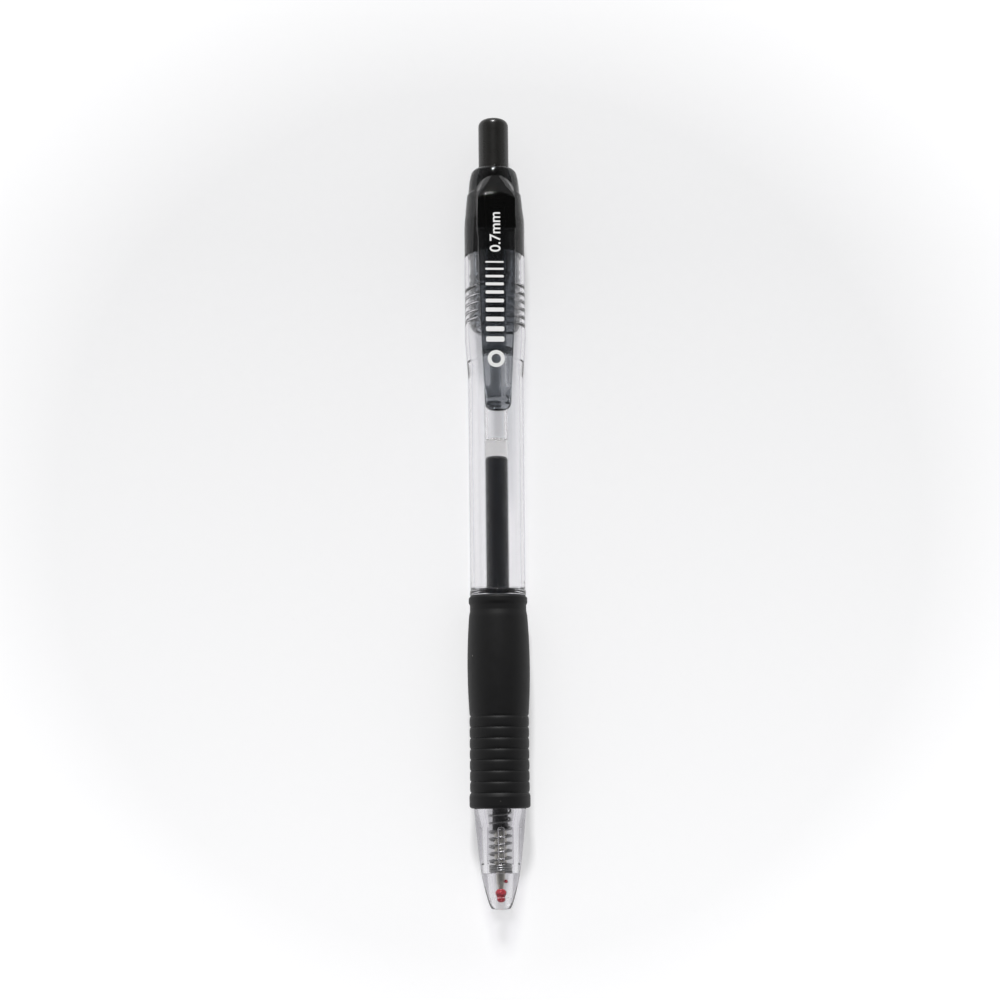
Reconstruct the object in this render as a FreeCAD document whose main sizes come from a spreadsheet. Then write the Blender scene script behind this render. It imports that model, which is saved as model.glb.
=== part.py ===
import FreeCAD, Part
import Sketcher
import math
import os

from FreeCAD import Placement, Rotation, Vector

# Retractable ballpoint pen, lying on its back with the clip uppermost.
# The pen's axis runs along Y: the nose points to -Y and the push button to +Y.
# Every "along" size is a distance from the nose tip, and every "radius" is measured from the axis.
SIZES = {
    "zero": 0.0,
    "overall_length": 144.5,
    # Clear barrel, moulded in one piece with the nose cone.
    "nose_rim_radius": 1.5,
    "nose_rim_along": 0.5,
    "nose_rim_outer": 1.93,
    "nose_rim_round": 0.5,
    "nose_bend_along": 8.5,
    "nose_bend_radius": 3.73,
    "nose_curve": 42.0,
    "nose_end_radius": 4.62,
    "neck_start": 17.4,
    "neck_radius": 4.25,
    "neck_end": 55.0,
    "flange_end": 55.9,
    "flange_radius": 5.07,
    "barrel_radius": 4.95,
    "barrel_end_radius": 5.05,
    "flare_start": 95.0,
    "flare_end": 102.1,
    "mouth_radius": 5.57,
    "mouth_along": 117.8,
    "orifice_radius": 1.2,
    "orifice_end": 2.15,
    "guide_start_radius": 1.4,
    "guide_end_radius": 1.63,
    "spring_seat": 6.3,
    "spring_bore": 2.2,
    "spring_bore_end": 13.8,
    "core_start": 14.5,
    "core_start_radius": 3.1,
    "core_end": 54.6,
    "core_end_radius": 3.5,
    "core_round": 1.2,
    "bore_start": 56.3,
    "bore_radius": 4.36,
    "bore_end_radius": 4.45,
    "bore_end": 97.75,
    "socket_start": 98.15,
    "socket_start_radius": 4.65,
    "socket_radius": 4.94,
    # Screw thread between the collar and the barrel.
    "thread_pitch": 1.46,
    "thread_height": 9.49,
    "thread_root": 0.4,
    "thread_crest": 0.2,
    "thread_sink": 0.06,
    "collar_thread_along": 105.3,
    "collar_thread_radius": 4.86,
    "barrel_thread_along": 106.03,
    "barrel_thread_radius": 4.65,
    # Rubber grip sleeve.
    "grip_corner_inner": 4.65,
    "grip_corner_along": 18.15,
    "grip_corner": 0.8,
    "grip_rim_radius": 5.42,
    "grip_rim_end": 19.5,
    "rib_crest_radius": 5.28,
    "rib_zone_start": 19.8,
    "rib_zone_end": 34.4,
    "rib_groove_first": 20.15,
    "rib_groove_depth": 0.19,
    "rib_groove_half": 0.45,
    "rib_pitch": 1.91,
    "rib_span": 13.37,
    "rib_cutter": 6.0,
    "swell_end": 51.0,
    "swell_end_radius": 5.26,
    "swell_curve": 111.3,
    "grip_top_radius": 5.58,
    "waist_start": 52.3,
    "waist_end": 53.3,
    "waist_radius": 5.05,
    "bead_start": 53.7,
    "bead_end": 54.65,
    "bead_radius": 5.26,
    "grip_lip_radius": 4.95,
    # Smoked collar that screws into the barrel and carries the clip.
    "insert_end": 104.0,
    "insert_lead": 104.5,
    "insert_lead_radius": 4.15,
    "insert_radius": 4.54,
    "collar_radius": 5.57,
    "collar_waist_along": 124.5,
    "collar_waist_radius": 5.5,
    "collar_neck_along": 128.4,
    "collar_neck_radius": 5.16,
    "step_start": 129.65,
    "step_start_radius": 5.02,
    "step_end": 129.85,
    "step_end_radius": 4.83,
    "dome_start": 132.2,
    "dome_start_radius": 4.59,
    "dome_round": 2.4,
    "dome_radius": 3.14,
    "dome_top": 134.7,
    "dome_underside": 131.6,
    "button_hole": 2.87,
    "guide_bore": 3.45,
    # Guide ribs inside the collar, with slanted lower ends that hold the rotor.
    "guide_rib_half": 1.3,
    "guide_rib_depth": 0.75,
    "guide_rib_low": 107.2,
    "guide_rib_high": 108.6,
    "guide_rib_top": 131.8,
    # Hood: the collar's front swells under a slanted edge that rises to an arch.
    "hood_lift": 0.3,
    "hood_inner": 4.0,
    "hood_end": 132.2,
    "hood_end_radius": 4.68,
    "arch_top_along": 131.8,
    "arch_top_height": 5.1,
    "arch_foot_drop": 3.85,
    "cut_far": 137.0,
    "cut_drop": 9.0,
    # Clip and the block that it grows from.
    "pivot_along": 120.9,
    "pivot_height": 7.15,
    "clip_half_thickness": 0.85,
    "clip_top": 8.0,
    "clip_bottom": 6.3,
    "socket_clearance": 0.05,
    "block_front": 121.2,
    "block_bottom": 3.95,
    "block_side_end": 126.4,
    "block_rear": 131.5,
    "block_plan_round": 5.5,
    "block_shoulder": 126.9,
    "block_round": 5.0,
    "block_rear_height": 4.9,
    "cut_high": 9.0,
    "clip_width": 6.9,
    "clip_mid_along": 103.0,
    "clip_mid_half": 3.05,
    "clip_root_half": 3.45,
    "clip_end_half": 2.35,
    "clip_bend_along": 98.8,
    "clip_end_along": 87.6,
    "clip_end_top": 7.6,
    "clip_end_bottom": 6.0,
    "pad_front": 89.1,
    "pad_rear": 91.9,
    "pad_height": 5.5,
    "pad_round": 3.0,
    "pad_root": 95.0,
    "clip_corner": 0.9,
    # Push button, hollow from below, with a crown of teeth on its slimmer stem.
    "button_radius": 2.79,
    "button_flat": 1.3,
    "button_shoulder": 142.95,
    "button_corner": 1.4,
    "button_step": 134.8,
    "button_stem_radius": 2.6,
    "button_end": 113.5,
    "button_bore": 1.8,
    "button_bore_end": 140.8,
    "crown_tooth_half": 1.06,
    "crown_tooth_height": 1.0,
    "crown_tooth_count": 8,
    "button_rib_start": 115.6,
    "button_rib_end": 131.5,
    "slot_rib_half": 0.6,
    "slot_rib_radius": 3.37,
    "slot_count": 4,
    "rib_sink": 0.2,
    # Cam rotor: turns a step at each press and pushes the refill.
    "rotor_pilot_radius": 1.7,
    "rotor_pilot_end": 118.8,
    "rotor_radius": 1.85,
    "rotor_shoulder": 112.6,
    "rotor_flange_end": 100.6,
    "rotor_flange_radius": 2.55,
    "rotor_rib_start": 108.7,
    "rotor_rib_low": 112.75,
    "rotor_rib_high": 113.75,
    "stem_radius": 0.9,
    "stem_end": 91.5,
    # Refill.
    "tube_radius": 2.2,
    "tube_bore": 1.6,
    "tube_front": 24.3,
    "tube_rear": 99.4,
    "ink_top": 80.0,
    "follower_top": 82.6,
    "holder_radius": 1.4,
    "holder_front": 13.7,
    "holder_rear": 29.5,
    "holder_channel": 0.6,
    "holder_barb_front": 27.2,
    "holder_barb_radius": 1.52,
    "tip_rear": 17.0,
    "tip_radius": 1.12,
    "tip_step": 8.3,
    "tip_step_end": 7.45,
    "tip_waist_radius": 0.85,
    "tip_cone": 4.9,
    "tip_cone_radius": 0.78,
    "tip_lip": 3.28,
    "tip_lip_radius": 0.42,
    "tip_lip_bore": 0.335,
    "tip_socket": 3.55,
    "tip_socket_end": 3.82,
    "tip_socket_radius": 0.37,
    "tip_channel": 0.2,
    "tip_channel_start": 3.94,
    "ball_centre": 3.45,
    "ball_radius": 0.35,
    "wax_front": 1.5,
    "wax_rear": 3.75,
    "wax_radius": 0.92,
    "wax_widest": 2.6,
    "wax_front_round": 1.0,
    "wax_rear_round": 1.1,
    "wax_rear_bore": 0.53,
    "wax_front_flat": 0.25,
    "ball_hollow": 0.37,
    "ball_hollow_front": 3.07,
    # Return spring.
    "spring_start": 6.5,
    "spring_end": 24.1,
    "spring_mean_radius": 1.88,
    "spring_wire_radius": 0.175,
    "spring_pitch": 1.257,
}

document = FreeCAD.newDocument("ballpoint_pen")
sheet = document.addObject("Spreadsheet::Sheet", "sizes")
for row, (alias, number) in enumerate(SIZES.items(), start=1):
    sheet.set(f"A{row}", alias)
    sheet.set(f"B{row}", str(number))
    sheet.setAlias(f"B{row}", alias)
document.recompute()


def size(terms):
    """The value of a sum such as "ink_top - tube_front", read from the sheet."""
    total = 0.0
    sign = 1.0
    for word in terms.split():
        if word in "+-":
            sign = 1.0 if word == "+" else -1.0
        else:
            total += sign * float(sheet.get(word))
    return total


def bound(terms):
    """The same sum as an expression on the sheet's cells."""
    return " ".join(word if word in "+-" else "sizes." + word for word in terms.split())


def origin_feature(body, role):
    return next(feature for feature in body.Origin.OriginFeatures if feature.Role == role)


def place_on_axis(thing, axis=Vector(0, 1, 0), degrees=0, along="zero"):
    """Puts a piece on the pen's axis, turned about its own origin, which lies at along."""
    thing.Placement = Placement(Vector(0, 0, 0), Rotation(axis, degrees))
    thing.setExpression(".Placement.Base.y", bound(along) + " - sizes.overall_length / 2")
    thing.setExpression(".Placement.Base.z", "sizes.grip_top_radius")
    return thing


def new_sketch(body, name, plane="YZ_Plane", lift=None):
    """A sketch on one of the body's origin planes; lift raises it along the plane's normal."""
    sketch = body.newObject("Sketcher::SketchObject", name)
    sketch.AttachmentSupport = [(origin_feature(body, plane), "")]
    sketch.MapMode = "FlatFace"
    if lift:
        sketch.setExpression(".AttachmentOffset.Base.z", bound(lift))
    return sketch


def arc_between(start, end, radius, side):
    """A circular arc of the given radius that bulges to the left (side 1) or right (side -1)."""
    chord = end - start
    half = chord.Length / 2
    sagitta = radius - math.sqrt(max(radius ** 2 - half ** 2, 0.0))
    left = Vector(-chord.y, chord.x, 0).normalize()
    return Part.Arc(start, start + chord / 2 + left * (side * sagitta), end)


def pin_to_cell(sketch, geometry, end, terms, kind):
    """Ties one coordinate of an end point to the sheet."""
    value = size(terms)
    if abs(value) < 1e-9:
        axis = -2 if kind == "DistanceX" else -1
        sketch.addConstraint(Sketcher.Constraint("PointOnObject", geometry, end, axis))
    elif value > 0:
        index = sketch.addConstraint(Sketcher.Constraint(kind, -1, 1, geometry, end, value))
        sketch.setExpression(f"Constraints[{index}]", bound(terms))
    else:
        index = sketch.addConstraint(Sketcher.Constraint(kind, geometry, end, -1, 1, -value))
        sketch.setExpression(f"Constraints[{index}]", f"-({bound(terms)})")


def outline(sketch, corners):
    """A closed outline. A corner is (across, up), or (across, up, radius, side) where an arc follows it."""
    points = [Vector(size(corner[0]), size(corner[1]), 0) for corner in corners]
    ends = []
    for index, corner in enumerate(corners):
        start = points[index]
        end = points[(index + 1) % len(points)]
        if len(corner) == 4:
            geometry = sketch.addGeometry(arc_between(start, end, size(corner[2]), corner[3]), False)
            first = 1 if sketch.getPoint(geometry, 1).distanceToPoint(start) < 1e-6 else 2
            if abs(size(corner[2]) * 2 - (end - start).Length) < 1e-6:
                # A half circle from top to bottom: its centre lies straight below the corner.
                pin_to_cell(sketch, geometry, 3, corner[0], "DistanceX")
            else:
                radius = sketch.addConstraint(Sketcher.Constraint("Radius", geometry, size(corner[2])))
                sketch.setExpression(f"Constraints[{radius}]", bound(corner[2]))
        else:
            geometry = sketch.addGeometry(Part.LineSegment(start, end), False)
            first = 1
        ends.append((geometry, first, 3 - first))
    for index, (geometry, first, last) in enumerate(ends):
        following = ends[(index + 1) % len(ends)]
        sketch.addConstraint(Sketcher.Constraint("Coincident", geometry, last, following[0], following[1]))
        pin_to_cell(sketch, geometry, first, corners[index][0], "DistanceX")
        pin_to_cell(sketch, geometry, first, corners[index][1], "DistanceY")
    return sketch


def turn_about_axis(body, sketch, name, kind="PartDesign::Revolution"):
    feature = body.newObject(kind, name)
    feature.Profile = sketch
    feature.ReferenceAxis = (sketch, ["H_Axis"])
    feature.Angle = 360
    return feature


def turned_body(name, corners):
    """A body turned about its own Y axis, which is the pen's axis counted from the nose tip."""
    body = document.addObject("PartDesign::Body", name + "_body")
    turn_about_axis(body, outline(new_sketch(body, name + "_profile"), corners), name + "_turned")
    return body


def add_thread(body, name, along, root_radius, crest_radius):
    """A helical ridge of trapezium section whose middle starts at along."""
    sketch = outline(new_sketch(body, name + "_section"), [
        (along + " - thread_root", root_radius),
        (along + " - thread_crest", crest_radius),
        (along + " + thread_crest", crest_radius),
        (along + " + thread_root", root_radius),
    ])
    thread = body.newObject("PartDesign::AdditiveHelix", name)
    thread.Profile = sketch
    thread.ReferenceAxis = (sketch, ["H_Axis"])
    thread.Mode = "pitch-height-angle"
    thread.setExpression("Pitch", "sizes.thread_pitch")
    thread.setExpression("Height", "sizes.thread_height")
    return thread


def repeat_around(body, feature, name, count):
    pattern = body.newObject("PartDesign::PolarPattern", name)
    pattern.Originals = [feature]
    pattern.Axis = (origin_feature(body, "Y_Axis"), [""])
    pattern.Angle = 360
    pattern.setExpression("Occurrences", "sizes." + count)
    body.Tip = pattern
    return pattern


def add_rib(body, name, corners, lift, height):
    """A rib drawn from above, raised by lift and grown outwards by height."""
    sketch = outline(new_sketch(body, name + "_plan", "XY_Plane", lift), corners)
    rib = body.newObject("PartDesign::Pad", name)
    rib.Profile = sketch
    rib.setExpression("Length", bound(height))
    return rib


def cut_through(body, sketch, name):
    pocket = body.newObject("PartDesign::Pocket", name)
    pocket.Profile = sketch
    pocket.Type = "ThroughAll"
    pocket.Midplane = True
    return pocket


def make_barrel():
    body = turned_body("barrel", [
        ("zero", "nose_rim_radius", "nose_rim_round", 1),
        ("nose_rim_along", "nose_rim_outer"),
        ("nose_bend_along", "nose_bend_radius", "nose_curve", 1),
        ("neck_start", "nose_end_radius"),
        ("neck_start", "neck_radius"),
        ("neck_end", "neck_radius"),
        ("neck_end", "flange_radius"),
        ("flange_end", "flange_radius"),
        ("flange_end", "barrel_radius"),
        ("flare_start", "barrel_end_radius"),
        ("flare_end", "mouth_radius"),
        ("mouth_along", "mouth_radius"),
        ("mouth_along", "socket_radius"),
        ("flare_end", "socket_radius"),
        ("socket_start", "socket_start_radius"),
        ("bore_end", "bore_end_radius"),
        ("bore_start", "bore_radius", "core_round", -1),
        ("core_end", "core_end_radius"),
        ("core_start", "core_start_radius"),
        ("spring_bore_end", "spring_bore"),
        ("spring_seat", "spring_bore"),
        ("spring_seat", "guide_end_radius"),
        ("orifice_end", "guide_start_radius"),
        ("orifice_end", "orifice_radius"),
        ("zero", "orifice_radius"),
    ])
    add_thread(body, "barrel_thread", "barrel_thread_along", "socket_radius + thread_sink", "barrel_thread_radius")
    return place_on_axis(body)


def make_grip_sleeve():
    body = turned_body("grip_sleeve", [
        ("neck_start", "neck_radius"),
        ("neck_start", "grip_corner_inner", "grip_corner", 1),
        ("grip_corner_along", "grip_rim_radius"),
        ("grip_rim_end", "grip_rim_radius"),
        ("rib_zone_start", "rib_crest_radius"),
        ("rib_zone_end", "rib_crest_radius", "swell_curve", 1),
        ("swell_end", "swell_end_radius"),
        ("waist_start", "waist_radius"),
        ("waist_end", "waist_radius"),
        ("bead_start", "bead_radius"),
        ("bead_end", "bead_radius"),
        ("neck_end", "grip_lip_radius"),
        ("neck_end", "neck_radius"),
    ])
    section = outline(new_sketch(body, "rib_groove_section"), [
        ("rib_groove_first", "rib_crest_radius - rib_groove_depth"),
        ("rib_groove_first - rib_groove_half", "rib_cutter"),
        ("rib_groove_first + rib_groove_half", "rib_cutter"),
    ])
    groove = turn_about_axis(body, section, "rib_groove", "PartDesign::Groove")
    pattern = body.newObject("PartDesign::LinearPattern", "rib_grooves")
    pattern.Originals = [groove]
    pattern.Direction = (origin_feature(body, "Y_Axis"), [""])
    pattern.setExpression("Length", "sizes.rib_span")
    pattern.setExpression("Occurrences", "1 + round(sizes.rib_span / sizes.rib_pitch)")
    body.Tip = pattern
    return place_on_axis(body)


def make_collar_shell():
    """Dome, skirt and threaded insert, with the guide ribs inside."""
    body = turned_body("collar_shell", [
        ("insert_end", "guide_bore"),
        ("insert_end", "insert_lead_radius"),
        ("insert_lead", "insert_radius"),
        ("mouth_along", "insert_radius"),
        ("mouth_along", "collar_radius"),
        ("collar_waist_along", "collar_waist_radius"),
        ("collar_neck_along", "collar_neck_radius"),
        ("step_start", "step_start_radius"),
        ("step_end", "step_end_radius"),
        ("dome_start", "dome_start_radius", "dome_round", 1),
        ("dome_top", "dome_radius"),
        ("dome_top", "button_hole"),
        ("dome_underside", "button_hole"),
        ("dome_underside", "guide_bore"),
    ])
    add_thread(body, "collar_thread", "collar_thread_along", "insert_radius - thread_sink", "collar_thread_radius")
    rib = add_rib(body, "guide_rib", [
        ("zero - guide_rib_half", "guide_rib_low"),
        ("guide_rib_half", "guide_rib_high"),
        ("guide_rib_half", "guide_rib_top"),
        ("zero - guide_rib_half", "guide_rib_top"),
    ], "button_hole", "guide_rib_depth")
    repeat_around(body, rib, "guide_ribs", "slot_count")
    return body


def make_collar_hood():
    """The swollen front with its arched edge, and the block that the clip grows from."""
    body = document.addObject("PartDesign::Body", "collar_hood_body")
    swell = new_sketch(body, "hood_profile")
    outline(swell, [
        ("mouth_along", "hood_inner"),
        ("mouth_along", "collar_radius"),
        ("collar_waist_along", "collar_waist_radius"),
        ("collar_neck_along", "collar_neck_radius"),
        ("hood_end", "hood_end_radius"),
        ("hood_end", "hood_inner"),
    ])
    swell.setExpression(".AttachmentOffset.Base.y", "sizes.hood_lift")
    turn_about_axis(body, swell, "hood_turned")
    slant = outline(new_sketch(body, "arch_slant"), [
        ("arch_top_along", "arch_top_height"),
        ("mouth_along", "zero - arch_foot_drop"),
        ("mouth_along", "zero - cut_drop"),
        ("cut_far", "zero - cut_drop"),
        ("cut_far", "arch_top_height"),
    ])
    cut_through(body, slant, "arch_cut")
    add_rib(body, "clip_block", [
        ("zero - clip_root_half", "block_front"),
        ("zero - clip_root_half", "block_side_end", "block_plan_round", 1),
        ("zero", "block_rear", "block_plan_round", 1),
        ("clip_root_half", "block_side_end"),
        ("clip_root_half", "block_front"),
    ], "block_bottom", "clip_top - block_bottom")
    slope = outline(new_sketch(body, "block_slope"), [
        ("block_shoulder", "clip_top", "block_round", 1),
        ("block_rear", "block_rear_height"),
        ("cut_far", "block_rear_height"),
        ("cut_far", "cut_high"),
        ("block_shoulder", "cut_high"),
    ])
    cut_through(body, slope, "block_slope_cut")
    knuckle = new_sketch(body, "clip_socket_circle")
    centre = Vector(size("pivot_along"), size("pivot_height"), 0)
    radius = size("clip_half_thickness + socket_clearance")
    circle = knuckle.addGeometry(Part.Circle(centre, Vector(0, 0, 1), radius), False)
    pin_to_cell(knuckle, circle, 3, "pivot_along", "DistanceX")
    pin_to_cell(knuckle, circle, 3, "pivot_height", "DistanceY")
    index = knuckle.addConstraint(Sketcher.Constraint("Radius", circle, radius))
    knuckle.setExpression(f"Constraints[{index}]", bound("clip_half_thickness + socket_clearance"))
    cut_through(body, knuckle, "clip_socket")
    return body


def make_clip_collar():
    collar = document.addObject("Part::Fuse", "clip_collar_fused")
    collar.Base = make_collar_shell()
    collar.Tool = make_collar_hood()
    collar.Refine = False
    return place_on_axis(collar)


def make_clip():
    """A tapering spring bar with a rounded root and a pad that presses on the barrel."""
    body = document.addObject("PartDesign::Body", "clip_body")
    side = outline(new_sketch(body, "clip_side"), [
        ("pivot_along", "clip_top", "clip_half_thickness", 1),
        ("pivot_along", "clip_bottom"),
        ("pad_root", "clip_bottom"),
        ("pad_rear", "pad_height", "pad_round", 1),
        ("pad_front", "pad_height"),
        ("clip_end_along", "clip_end_bottom"),
        ("clip_end_along", "clip_end_top"),
        ("clip_bend_along", "clip_top"),
    ])
    bar = body.newObject("PartDesign::Pad", "clip_bar")
    bar.Profile = side
    bar.Midplane = True
    bar.setExpression("Length", "sizes.clip_width")
    for name, sign in (("left", "zero - "), ("right", "")):
        taper = outline(new_sketch(body, "taper_" + name, "XY_Plane"), [
            (sign + "clip_root_half", "pivot_along"),
            (sign + "clip_mid_half", "clip_mid_along"),
            (sign + "clip_end_half", "clip_end_along"),
            (sign + "clip_width", "clip_end_along"),
            (sign + "clip_width", "pivot_along"),
        ])
        cut_through(body, taper, "taper_cut_" + name)
    document.recompute()
    base = body.Tip
    corners = [f"Edge{number}" for number, edge in enumerate(base.Shape.Edges, start=1)
               if is_clip_corner(edge.BoundBox)]
    rounding = body.newObject("PartDesign::Fillet", "clip_corners")
    rounding.Base = (base, corners)
    rounding.setExpression("Radius", "sizes.clip_corner")
    return place_on_axis(body)


def is_clip_corner(box):
    """An upright edge at the free end of the clip."""
    upright = box.ZLength > 1.0 and box.XLength < 1e-3 and box.YLength < 1e-3
    return upright and abs(box.YMin - size("clip_end_along")) < 0.01


def make_push_button():
    body = turned_body("push_button", [
        ("button_end", "button_bore"),
        ("button_end", "button_stem_radius"),
        ("button_step", "button_stem_radius"),
        ("button_step", "button_radius"),
        ("button_shoulder", "button_radius", "button_corner", 1),
        ("overall_length", "button_flat"),
        ("overall_length", "zero"),
        ("button_bore_end", "zero"),
        ("button_bore_end", "button_bore"),
    ])
    notch = outline(new_sketch(body, "crown_notch_plan", "XY_Plane"), [
        ("zero", "button_end + crown_tooth_height"),
        ("crown_tooth_half", "button_end"),
        ("zero - crown_tooth_half", "button_end"),
    ])
    cut = body.newObject("PartDesign::Pocket", "crown_notch")
    cut.Profile = notch
    cut.Type = "ThroughAll"
    cut.Reversed = True
    repeat_around(body, cut, "crown", "crown_tooth_count")
    rib = add_rib(body, "button_rib", [
        ("zero - slot_rib_half", "button_rib_start"),
        ("slot_rib_half", "button_rib_start"),
        ("slot_rib_half", "button_rib_end"),
        ("zero - slot_rib_half", "button_rib_end"),
    ], "button_stem_radius - rib_sink", "slot_rib_radius - button_stem_radius + rib_sink")
    repeat_around(body, rib, "button_ribs", "slot_count")
    return place_on_axis(body, degrees=45)


def make_cam_rotor():
    body = turned_body("cam_rotor", [
        ("stem_end", "zero"),
        ("stem_end", "stem_radius"),
        ("tube_rear", "stem_radius"),
        ("tube_rear", "rotor_flange_radius"),
        ("rotor_flange_end", "rotor_flange_radius"),
        ("rotor_flange_end", "rotor_radius"),
        ("rotor_shoulder", "rotor_radius"),
        ("rotor_shoulder", "rotor_pilot_radius"),
        ("rotor_pilot_end", "rotor_pilot_radius"),
        ("rotor_pilot_end", "zero"),
    ])
    rib = add_rib(body, "rotor_rib", [
        ("zero - slot_rib_half", "rotor_rib_start"),
        ("slot_rib_half", "rotor_rib_start"),
        ("slot_rib_half", "rotor_rib_high"),
        ("zero - slot_rib_half", "rotor_rib_low"),
    ], "rotor_pilot_radius - rib_sink", "slot_rib_radius - rotor_pilot_radius + rib_sink")
    repeat_around(body, rib, "rotor_ribs", "slot_count")
    return place_on_axis(body, degrees=45)


def make_refill_tube():
    return place_on_axis(turned_body("refill_tube", [
        ("tube_front", "tube_bore"),
        ("tube_front", "tube_radius"),
        ("tube_rear", "tube_radius"),
        ("tube_rear", "tube_bore"),
    ]))


def make_ball_holder():
    return place_on_axis(turned_body("ball_holder", [
        ("holder_front", "tip_radius"),
        ("holder_front", "holder_radius"),
        ("tube_front", "holder_radius"),
        ("tube_front", "tube_bore"),
        ("holder_barb_front", "tube_bore"),
        ("holder_rear", "holder_barb_radius"),
        ("holder_rear", "holder_channel"),
        ("tip_rear", "holder_channel"),
        ("tip_rear", "tip_radius"),
    ]))


def make_writing_tip():
    return place_on_axis(turned_body("writing_tip", [
        ("tip_lip", "tip_lip_bore"),
        ("tip_lip", "tip_lip_radius"),
        ("tip_cone", "tip_cone_radius"),
        ("tip_step_end", "tip_waist_radius"),
        ("tip_step", "tip_radius"),
        ("tip_rear", "tip_radius"),
        ("tip_rear", "tip_channel"),
        ("tip_channel_start", "tip_channel"),
        ("tip_socket_end", "tip_socket_radius"),
        ("tip_socket", "tip_socket_radius"),
    ]))


def make_tip_ball():
    ball = document.addObject("Part::Sphere", "tip_ball_sphere")
    ball.setExpression("Radius", "sizes.ball_radius")
    return place_on_axis(ball, along="ball_centre")


def make_ink_column():
    return place_on_axis(turned_body("ink_column", [
        ("tip_channel_start", "zero"),
        ("tip_channel_start", "tip_channel"),
        ("tip_rear", "tip_channel"),
        ("tip_rear", "holder_channel"),
        ("holder_rear", "holder_channel"),
        ("holder_rear", "tube_bore"),
        ("ink_top", "tube_bore"),
        ("ink_top", "zero"),
    ]))


def make_ink_follower():
    return place_on_axis(turned_body("ink_follower", [
        ("ink_top", "zero"),
        ("ink_top", "tube_bore"),
        ("follower_top", "tube_bore"),
        ("follower_top", "zero"),
    ]))


def make_wax_seal():
    """A drop of sealing wax round the ball and the lip of the metal tip."""
    return place_on_axis(turned_body("wax_seal", [
        ("wax_front", "zero"),
        ("wax_front", "wax_front_flat", "wax_front_round", 1),
        ("wax_widest", "wax_radius", "wax_rear_round", 1),
        ("wax_rear", "wax_rear_bore"),
        ("tip_lip", "tip_lip_radius"),
        ("tip_lip", "ball_hollow"),
        ("ball_hollow_front", "ball_hollow"),
        ("ball_hollow_front", "zero"),
    ]))


def make_return_spring():
    helix = document.addObject("Part::Helix", "spring_helix")
    helix.setExpression("Pitch", "sizes.spring_pitch")
    helix.setExpression("Height", "sizes.spring_end - sizes.spring_start")
    helix.setExpression("Radius", "sizes.spring_mean_radius")
    wire = document.addObject("Part::Circle", "spring_wire")
    wire.setExpression("Radius", "sizes.spring_wire_radius")
    wire.Placement.Rotation = Rotation(Vector(1, 0, 0), 90)
    wire.setExpression(".Placement.Base.x", "sizes.spring_mean_radius")
    spring = document.addObject("Part::Sweep", "return_spring_sweep")
    spring.Sections = [wire]
    spring.Spine = (helix, ["Edge1"])
    spring.Solid = True
    spring.Frenet = True
    return place_on_axis(spring, axis=Vector(1, 0, 0), degrees=-90, along="spring_start")


MAKERS = {
    "barrel": make_barrel,
    "grip_sleeve": make_grip_sleeve,
    "clip_collar": make_clip_collar,
    "clip": make_clip,
    "push_button": make_push_button,
    "cam_rotor": make_cam_rotor,
    "refill_tube": make_refill_tube,
    "ink_column": make_ink_column,
    "ink_follower": make_ink_follower,
    "ball_holder": make_ball_holder,
    "writing_tip": make_writing_tip,
    "tip_ball": make_tip_ball,
    "wax_seal": make_wax_seal,
    "return_spring": make_return_spring,
}


def check_features():
    """Every object must have been computed, and every cut must have removed something."""
    for thing in document.Objects:
        if "Invalid" in thing.State or "Error" in thing.State:
            raise RuntimeError(thing.Name + " failed: " + thing.getStatusString())
        if thing.TypeId in ("PartDesign::Pocket", "PartDesign::Groove"):
            if thing.Shape.Volume > thing.BaseFeature.Shape.Volume - 1e-4:
                raise RuntimeError(thing.Name + " cuts nothing")


def check_shape(name, shape):
    if shape.isNull() or not shape.isValid() or shape.Volume <= 0:
        raise RuntimeError(name + " has no sound shape")
    if len(shape.Solids) != 1:
        raise RuntimeError(f"{name} has {len(shape.Solids)} solids")


pieces = {name: maker() for name, maker in MAKERS.items()}
for name, piece in pieces.items():
    piece.Label = name
document.recompute()
check_features()
for name, piece in pieces.items():
    check_shape(name, piece.Shape)

os.makedirs("parts", exist_ok=True)
for name, piece in pieces.items():
    piece.Shape.exportStep(f"parts/{name}.step")
    print(name, round(piece.Shape.Volume, 3))
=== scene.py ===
import math

import bmesh
import bpy
import numpy as np
from mathutils import Matrix, Vector


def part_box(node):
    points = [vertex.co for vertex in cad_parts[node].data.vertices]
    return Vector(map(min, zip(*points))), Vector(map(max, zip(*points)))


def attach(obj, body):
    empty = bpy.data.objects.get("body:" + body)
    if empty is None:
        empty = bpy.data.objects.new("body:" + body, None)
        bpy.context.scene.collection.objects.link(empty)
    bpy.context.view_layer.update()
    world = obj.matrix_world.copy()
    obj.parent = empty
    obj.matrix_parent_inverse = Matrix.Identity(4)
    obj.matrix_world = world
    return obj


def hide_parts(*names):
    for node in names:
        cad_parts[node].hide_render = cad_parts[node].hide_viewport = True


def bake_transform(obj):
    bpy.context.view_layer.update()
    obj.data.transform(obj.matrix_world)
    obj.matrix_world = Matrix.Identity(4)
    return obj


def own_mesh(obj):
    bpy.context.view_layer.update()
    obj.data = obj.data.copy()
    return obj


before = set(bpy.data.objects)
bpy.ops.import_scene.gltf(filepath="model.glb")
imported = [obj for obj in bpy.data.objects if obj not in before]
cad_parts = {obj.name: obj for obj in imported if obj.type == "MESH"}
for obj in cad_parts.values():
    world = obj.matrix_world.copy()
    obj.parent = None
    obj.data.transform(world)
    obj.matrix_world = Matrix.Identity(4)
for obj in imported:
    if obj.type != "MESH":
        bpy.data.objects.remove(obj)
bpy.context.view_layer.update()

# Shapes are worked out in millimetres: "along" is a distance from the nose tip, "radius" and "height" are
# measured from the pen's axis, and "across" is +X. to_frame() turns them into metres in the row frame.
MM = 0.001
SEGMENTS = 200
FULL_TURN = 2 * math.pi
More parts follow.
